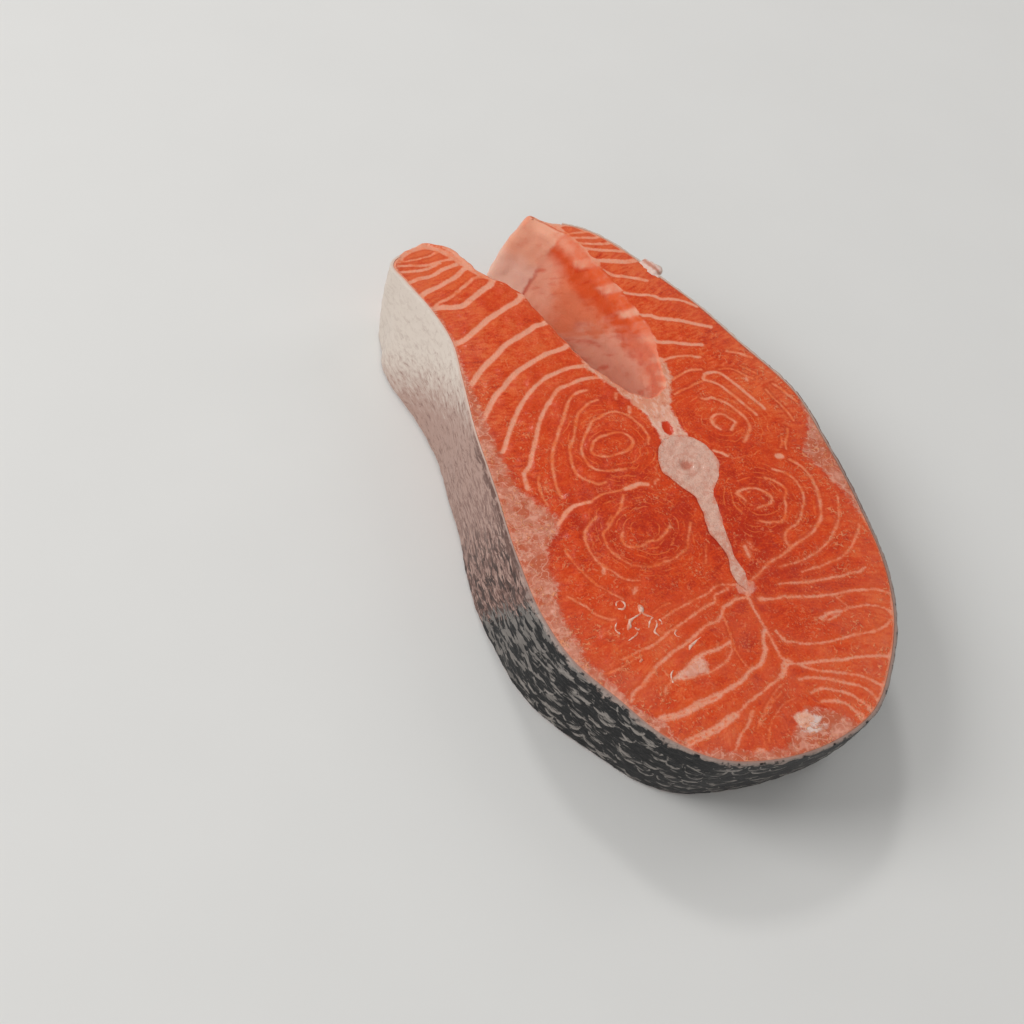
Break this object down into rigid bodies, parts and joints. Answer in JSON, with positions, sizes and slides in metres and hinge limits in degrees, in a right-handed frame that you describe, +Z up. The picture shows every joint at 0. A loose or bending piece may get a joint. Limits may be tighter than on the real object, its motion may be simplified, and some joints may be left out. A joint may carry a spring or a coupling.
{
  "type": "salmon steak",
  "caption": "Thick raw salmon steak cut across the fish, horseshoe shaped, with skin round the outside, an open belly between two flaps and the backbone in the middle.",
  "frame": {"origin": "middle of the bounding box, on the lower cut face the steak lies on", "axes": "+Z up through the thickness, out of the upper cut face; +Y towards the two belly flaps; +X to the flap whose inner wall shows in the picture"},
  "size_m": [0.0978, 0.1898, 0.0268],
  "materials": {
    "flesh": "moist orange-red fish flesh with pale fat lines",
    "skin": "moist scaly fish skin, pale at the belly and charcoal at the back",
    "backbone": "matt pale pink bone"
  },
  "bodies": {
    "root": {"flesh": "flesh", "skin": "skin", "backbone": "backbone"}
  },
  "joints": []
}
